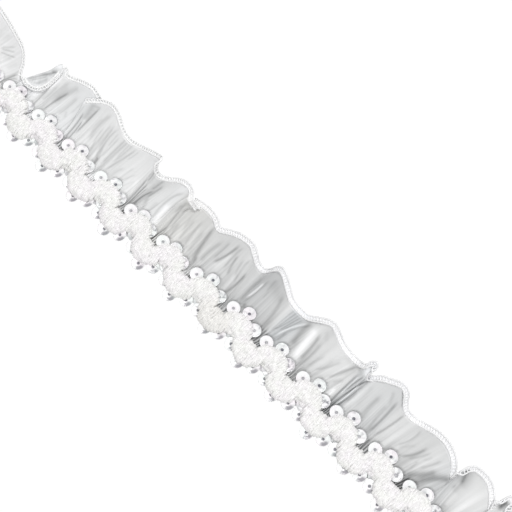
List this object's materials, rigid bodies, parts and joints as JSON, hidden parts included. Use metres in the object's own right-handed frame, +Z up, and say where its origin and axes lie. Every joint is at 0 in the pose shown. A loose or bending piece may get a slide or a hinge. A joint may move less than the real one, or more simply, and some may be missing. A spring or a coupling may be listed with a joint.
{
  "type": "ruffled ribbon trim",
  "caption": "A cut length of gathered satin ribbon with a wavy overcast hem and a serpentine yarn braid set with pearly spangles along its gathered edge, for edging garments and furnishings.",
  "frame": {"origin": "middle of the bounding box's footprint, on the plane that the trim lies on", "axes": "+X runs along the trim, +Y points from the braid to the ruffle's free hem, +Z is up out of the surface it lies on"},
  "size_m": [0.273, 0.037, 0.0105],
  "materials": {
    "satin_ribbon": "soft satin weave, white, a little sheer",
    "hem_thread": "white overcast sewing thread",
    "braid_yarn": "matt white loop yarn, slightly fuzzy",
    "spangle": "glossy pearl"
  },
  "bodies": {
    "root": {"ruffle": "satin_ribbon", "spangled_braid": "braid_yarn"}
  },
  "joints": []
}
